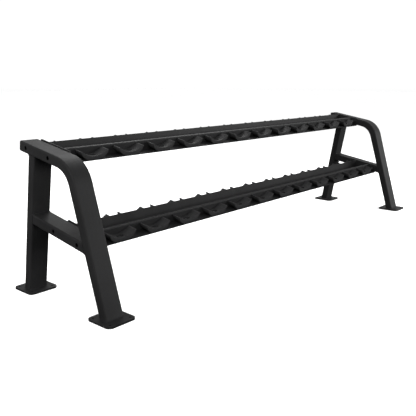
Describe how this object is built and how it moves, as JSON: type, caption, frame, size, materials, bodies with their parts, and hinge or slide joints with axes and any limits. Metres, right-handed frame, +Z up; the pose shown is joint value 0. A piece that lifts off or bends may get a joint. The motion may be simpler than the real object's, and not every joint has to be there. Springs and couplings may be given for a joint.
{
  "type": "dumbbell rack",
  "caption": "Floor-standing dumbbell rack with bent-tube side frames joined by sloping tiers, each with front and rear rows of moulded saddles.",
  "frame": {"origin": "on the floor, in the middle of the four feet", "axes": "+X along the rack to its right end seen from the front, +Y to the back, +Z up"},
  "size_m": [3.11, 0.764, 0.7631],
  "materials": {
    "frame_paint": "fine-textured matt black powder coat",
    "tier_paint": "fine-textured matt black powder coat",
    "saddle_plastic": "moulded black plastic, fine grain",
    "cap_plastic": "moulded black plastic",
    "fasteners": "black oxide"
  },
  "bodies": {
    "root": {"left_bent_tube": "frame_paint", "left_cross_tube": "frame_paint", "left_end_cap": "cap_plastic", "left_frame_bolts": "fasteners", "left_frame_nuts": "fasteners", "left_front_foot_plate": "frame_paint", "left_rear_foot_plate": "frame_paint", "left_rear_leg": "frame_paint", "lower_base_plate": "tier_paint", "lower_front_rail": "tier_paint", "lower_front_saddle_bolts": "fasteners", "lower_left_end_plate": "tier_paint", "lower_rear_rail": "tier_paint", "lower_rear_saddle_bolts": "fasteners", "lower_right_end_plate": "tier_paint", "lower_saddle_nuts": "fasteners", "lower_saddles_01": "saddle_plastic", "lower_saddles_02": "saddle_plastic", "lower_saddles_03": "saddle_plastic", "lower_saddles_04": "saddle_plastic", "lower_saddles_05": "saddle_plastic", "lower_saddles_06": "saddle_plastic", "lower_saddles_07": "saddle_plastic", "lower_saddles_08": "saddle_plastic", "lower_saddles_09": "saddle_plastic", "lower_saddles_10": "saddle_plastic", "lower_saddles_11": "saddle_plastic", "lower_saddles_12": "saddle_plastic", "right_bent_tube": "frame_paint", "right_cross_tube": "frame_paint", "right_end_cap": "cap_plastic", "right_frame_bolts": "fasteners", "right_frame_nuts": "fasteners", "right_front_foot_plate": "frame_paint", "right_rear_foot_plate": "frame_paint", "right_rear_leg": "frame_paint", "upper_base_plate": "tier_paint", "upper_front_rail": "tier_paint", "upper_front_saddle_bolts": "fasteners", "upper_left_end_plate": "tier_paint", "upper_rear_rail": "tier_paint", "upper_rear_saddle_bolts": "fasteners", "upper_right_end_plate": "tier_paint", "upper_saddle_nuts": "fasteners", "upper_saddles_01": "saddle_plastic", "upper_saddles_02": "saddle_plastic", "upper_saddles_03": "saddle_plastic", "upper_saddles_04": "saddle_plastic", "upper_saddles_05": "saddle_plastic", "upper_saddles_06": "saddle_plastic", "upper_saddles_07": "saddle_plastic", "upper_saddles_08": "saddle_plastic", "upper_saddles_09": "saddle_plastic", "upper_saddles_10": "saddle_plastic", "upper_saddles_11": "saddle_plastic", "upper_saddles_12": "saddle_plastic"}
  },
  "joints": []
}
